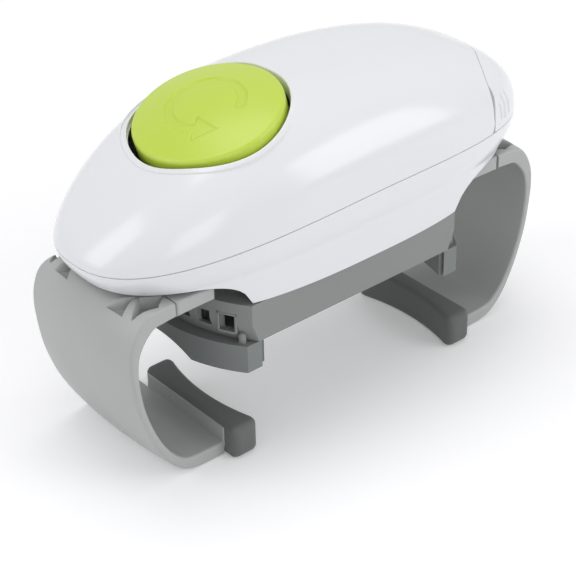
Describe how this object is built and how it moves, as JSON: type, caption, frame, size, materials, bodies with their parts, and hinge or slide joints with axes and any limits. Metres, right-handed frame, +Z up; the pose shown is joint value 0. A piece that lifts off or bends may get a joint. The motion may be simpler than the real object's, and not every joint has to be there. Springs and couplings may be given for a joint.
{
  "type": "electric jar opener",
  "caption": "Battery jar opener: a domed housing with a start button over a turntable whose sliding jaws turn the lid, between two curved sliding arms that hold the jar.",
  "frame": {"origin": "on the ground below the turning axis, at the middle of the bounding box", "axes": "+X along the housing towards the battery end, +Z up along the turning axis"},
  "size_m": [0.2002, 0.0898, 0.1305],
  "materials": {
    "white_housing": "glossy moulded ABS",
    "green_button": "glossy moulded ABS",
    "arm_grey": "satin moulded nylon",
    "table_grey": "satin moulded ABS",
    "jaw_grey": "satin moulded nylon",
    "grip_rubber": "matt moulded rubber",
    "gear_plastic": "natural acetal",
    "inner_plastic": "plain moulded plastic",
    "steel": "bright drawn steel",
    "brass": "turned brass",
    "circuit_board": "coated board",
    "black_plastic": "plain moulded plastic",
    "red_plastic": "moulded plastic",
    "cell_sleeve": "printed film sleeve"
  },
  "bodies": {
    "housing": {"upper_shell": "white_housing", "lower_shell": "white_housing", "button_spring": "steel", "switch_body": "black_plastic", "control_board": "circuit_board", "board_frame": "inner_plastic", "gear_plate": "inner_plastic", "plate_screws": "steel", "motor": "steel", "gear_axles": "steel", "spindle_bush": "brass", "thrust_washer": "gear_plastic", "guide_plate": "inner_plastic", "guide_screws": "steel", "battery_tray": "inner_plastic", "battery_a": "cell_sleeve", "battery_b": "cell_sleeve", "cell_contacts": "steel"},
    "door": {"battery_door": "white_housing", "door_contact": "steel"},
    "button": {"start_button": "green_button"},
    "plunger": {"switch_plunger": "red_plastic"},
    "motor_gear": {"motor_pinion": "brass"},
    "gear_one": {"first_gear": "gear_plastic"},
    "gear_two": {"second_gear": "gear_plastic"},
    "table": {"turntable": "table_grey", "table_cover": "table_grey", "cover_screws": "steel", "spindle": "steel", "spindle_clip": "steel", "output_gear": "gear_plastic"},
    "jaw_gear": {"jaw_pinion": "gear_plastic"},
    "jaw_left": {"lid_jaw_left": "jaw_grey", "jaw_rack_left": "jaw_grey", "lid_rubber_left": "grip_rubber"},
    "jaw_right": {"lid_jaw_right": "jaw_grey", "jaw_rack_right": "jaw_grey", "lid_rubber_right": "grip_rubber"},
    "arm_gear": {"arm_pinion": "gear_plastic"},
    "left_arm": {"arm_left": "arm_grey", "arm_pad_left": "grip_rubber"},
    "right_arm": {"arm_right": "arm_grey", "arm_pad_right": "grip_rubber"}
  },
  "joints": [
    {"name": "turntable_turn", "type": "hinge", "parent": "housing", "child": "table", "pos_m": [0, 0, 0.06], "axis": [0, 0, 1], "continuous": true},
    {"name": "gear_two_spin", "type": "hinge", "parent": "housing", "child": "gear_two", "pos_m": [-0.0115, 0.01992, 0.09], "axis": [0, 0, 1], "continuous": true},
    {"name": "gear_one_spin", "type": "hinge", "parent": "housing", "child": "gear_one", "pos_m": [0.0085, 0.01992, 0.09], "axis": [0, 0, 1], "continuous": true},
    {"name": "motor_spin", "type": "hinge", "parent": "housing", "child": "motor_gear", "pos_m": [0.01368, 0.0006, 0.09], "axis": [0, 0, 1], "continuous": true},
    {"name": "jaw_right_slide", "type": "slide", "parent": "table", "child": "jaw_right", "axis": [1, 0, 0], "range_m": [-0.03, 0.001]},
    {"name": "jaw_left_slide", "type": "slide", "parent": "table", "child": "jaw_left", "axis": [-1, 0, 0], "range_m": [-0.03, 0.001]},
    {"name": "jaw_gear_spin", "type": "hinge", "parent": "table", "child": "jaw_gear", "pos_m": [0, 0, 0.05], "axis": [0, 0, 1], "range_deg": [-8, 195]},
    {"name": "arm_right_slide", "type": "slide", "parent": "housing", "child": "right_arm", "axis": [1, 0, 0], "range_m": [-0.027, 0.004]},
    {"name": "arm_left_slide", "type": "slide", "parent": "housing", "child": "left_arm", "axis": [-1, 0, 0], "range_m": [-0.027, 0.004]},
    {"name": "arm_gear_spin", "type": "hinge", "parent": "housing", "child": "arm_gear", "pos_m": [0, 0, 0.07], "axis": [0, 0, 1], "range_deg": [-21, 131]},
    {"name": "button_press", "type": "slide", "parent": "housing", "child": "button", "axis": [0, 0, -1], "range_m": [0, 0.002], "stiffness_N_per_m": 700, "springref_m": -0.003, "deforming": ["button_spring"]},
    {"name": "plunger_press", "type": "slide", "parent": "housing", "child": "plunger", "axis": [0, 0, -1], "range_m": [0, 0.002]},
    {"name": "door_slide", "type": "slide", "parent": "housing", "child": "door", "axis": [1, 0, 0], "range_m": [0, 0.03]}
  ],
  "couplings": [
    {"joint": "gear_two_spin", "follows": "turntable_turn", "ratio": -3.6},
    {"joint": "gear_one_spin", "follows": "turntable_turn", "ratio": 10.8},
    {"joint": "motor_spin", "follows": "turntable_turn", "ratio": -32.4},
    {"joint": "jaw_left_slide", "follows": "jaw_right_slide", "ratio": 1},
    {"joint": "jaw_gear_spin", "follows": "jaw_right_slide", "rad_per_m": -111.11},
    {"joint": "arm_left_slide", "follows": "arm_right_slide", "ratio": 1},
    {"joint": "arm_gear_spin", "follows": "arm_right_slide", "rad_per_m": -83.333},
    {"joint": "plunger_press", "follows": "button_press", "ratio": 1}
  ]
}
